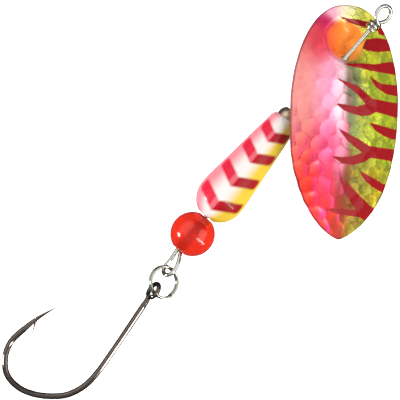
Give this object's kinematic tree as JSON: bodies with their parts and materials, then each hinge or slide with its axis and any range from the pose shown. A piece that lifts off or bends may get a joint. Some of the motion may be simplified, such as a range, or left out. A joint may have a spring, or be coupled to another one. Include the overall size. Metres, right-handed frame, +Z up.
{
  "type": "inline spinner",
  "caption": "Fishing lure with a dished blade pierced by its wire shaft, a painted teardrop weight, a bead, a split ring and a single barbed hook.",
  "frame": {"origin": "centre of the line eye at the top of the wire shaft", "axes": "+Z up along the straight wire shaft, with the lure hanging from its line eye; the hook's bend lies near the XZ plane with its gape toward -X, and the blade's outer face looks toward -Y"},
  "size_m": [0.0342, 0.011, 0.0954],
  "materials": {
    "shaft_wire": "bright drawn stainless wire",
    "blade_paint": "hammered and polished, coated in clear candy pink, orange and chartreuse with deep red stripes",
    "bearing_brass": "worn bright brass",
    "weight_paint": "glossy pearl white with pink and yellow sides and red chevrons",
    "bead_plastic": "polished translucent red",
    "ring_nickel": "bright nickel plate",
    "hook_black_nickel": "polished black nickel"
  },
  "bodies": {
    "shaft": {"wire_shaft": "shaft_wire"},
    "blade": {"spinner_blade": "blade_paint"},
    "bearing": {"bearing_bead": "bearing_brass"},
    "weight": {"weighted_body": "weight_paint"},
    "bead": {"red_bead": "bead_plastic"},
    "ring": {"split_ring": "ring_nickel"},
    "hook": {"single_hook": "hook_black_nickel"}
  },
  "joints": [
    {"name": "blade_spin", "type": "hinge", "parent": "shaft", "child": "blade", "pos_m": [0, 0, -0.0107], "axis": [0, 0, 1], "continuous": true},
    {"name": "bearing_spin", "type": "hinge", "parent": "shaft", "child": "bearing", "pos_m": [-0.00082, 0, -0.02516], "axis": [-0.0209, 0, 0.9998], "continuous": true},
    {"name": "weight_spin", "type": "hinge", "parent": "shaft", "child": "weight", "pos_m": [-0.00026, 0, -0.05204], "axis": [-0.0209, 0, 0.9998], "continuous": true},
    {"name": "bead_spin", "type": "hinge", "parent": "shaft", "child": "bead", "pos_m": [0, 0, -0.05204], "axis": [0, 0, 1], "continuous": true},
    {"name": "ring_swing", "type": "hinge", "parent": "shaft", "child": "ring", "pos_m": [0.00092, -0.00092, -0.0595], "axis": [0.7071, -0.7071, 0], "range_deg": [-50, 30]},
    {"name": "hook_swing", "type": "hinge", "parent": "ring", "child": "hook", "pos_m": [0.00135, -0.003, -0.0642], "axis": [0.8605, 0.5, 0.098], "range_deg": [-90, 90]}
  ]
}
